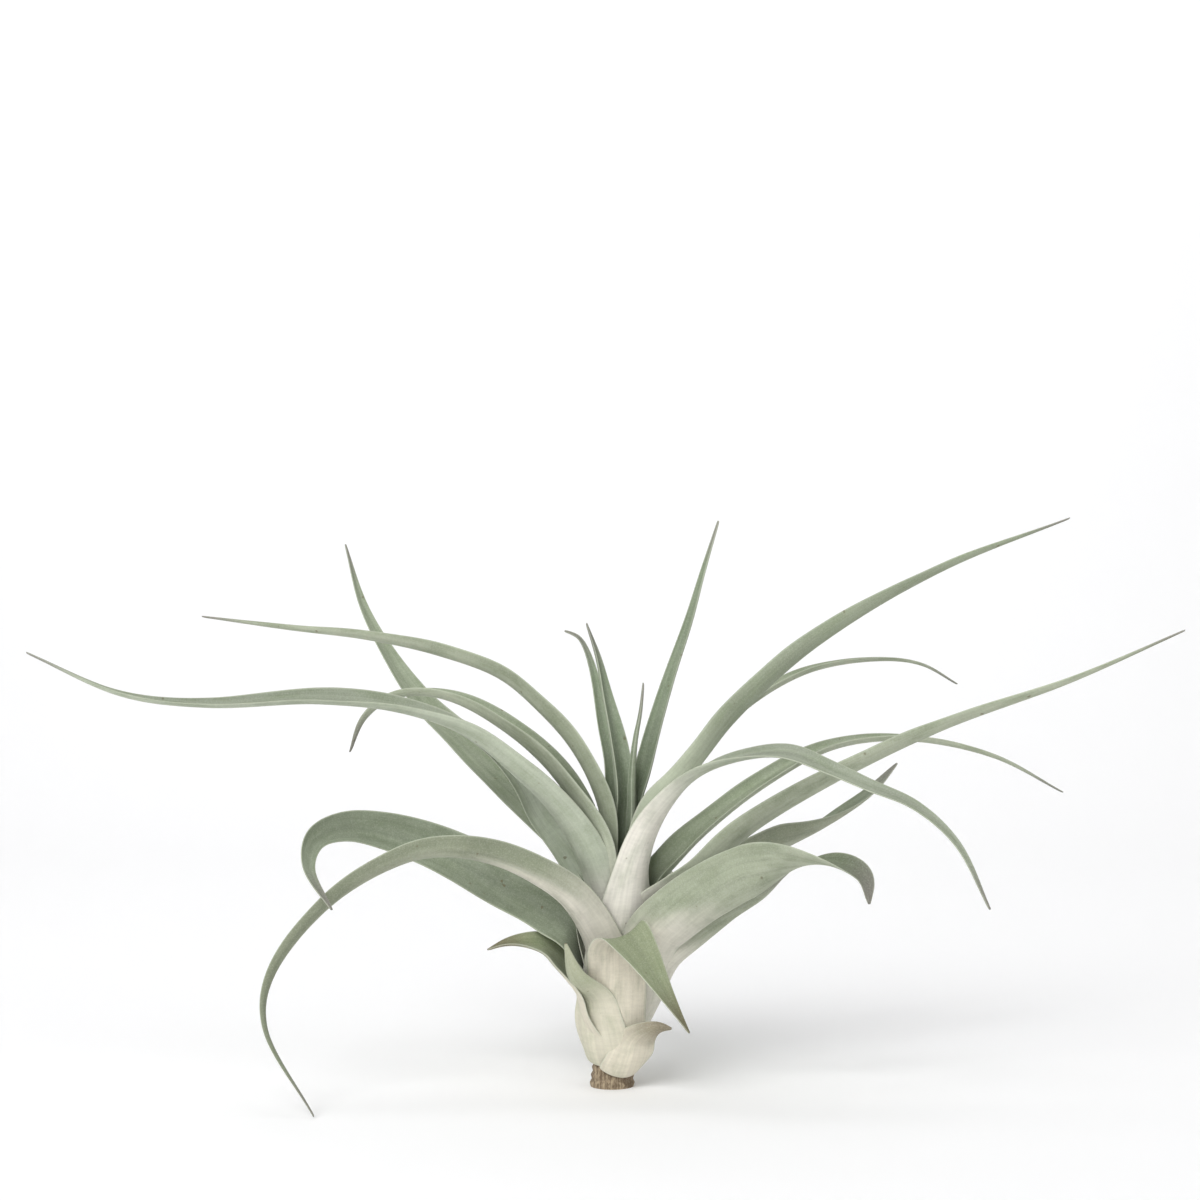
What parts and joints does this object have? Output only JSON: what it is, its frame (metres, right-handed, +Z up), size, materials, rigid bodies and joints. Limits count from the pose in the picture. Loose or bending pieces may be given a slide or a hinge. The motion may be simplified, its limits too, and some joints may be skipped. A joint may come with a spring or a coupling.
{
  "type": "air plant",
  "caption": "Soft-leaved silvery air plant: an open rosette of long channelled leaves that taper to fine tips, rising and arching from a short stem, with no pot.",
  "frame": {"origin": "the middle of the flat foot of the stem, on the surface that the plant stands on", "axes": "+Z up along the stem, +X to the right in the picture, along which the leaves spread furthest, -Y to the front, where the picture looks from"},
  "size_m": [0.3855, 0.2027, 0.2003],
  "materials": {
    "leaf_blade": "matt and velvety, grey-green over silvery scales, creamy at the sheath, brown-grey at the tip",
    "pale_scale": "matt, papery and pale, cream with a pink tinge",
    "stem": "dry, fibrous and brown"
  },
  "bodies": {
    "root": {"stem": "stem", "leaf_centre_bud": "leaf_blade", "leaf_centre_broad": "leaf_blade", "leaf_centre_bent_tip": "leaf_blade", "leaf_centre_tall": "leaf_blade", "leaf_right_rising": "leaf_blade", "leaf_left_rising": "leaf_blade", "leaf_back_upper": "leaf_blade", "leaf_back_right_upper": "leaf_blade", "leaf_back_left_upturned": "leaf_blade", "leaf_left_hooked": "leaf_blade", "leaf_right_long": "leaf_blade", "leaf_right_slender": "leaf_blade", "leaf_left_long": "leaf_blade", "leaf_back_left_prop": "leaf_blade", "leaf_front_right_arching": "leaf_blade", "leaf_left_inner": "leaf_blade", "leaf_back_right_lower": "leaf_blade", "leaf_back_right_prop": "leaf_blade", "leaf_left_curled_over": "leaf_blade", "leaf_left_drooping": "leaf_blade", "leaf_right_broad": "leaf_blade", "leaf_back_left_low": "leaf_blade", "leaf_right_under": "leaf_blade", "leaf_left_short": "leaf_blade", "leaf_front_folded": "leaf_blade", "leaf_front_left_scale": "pale_scale", "leaf_back_short": "leaf_blade", "leaf_foot_stub": "pale_scale"}
  },
  "joints": []
}
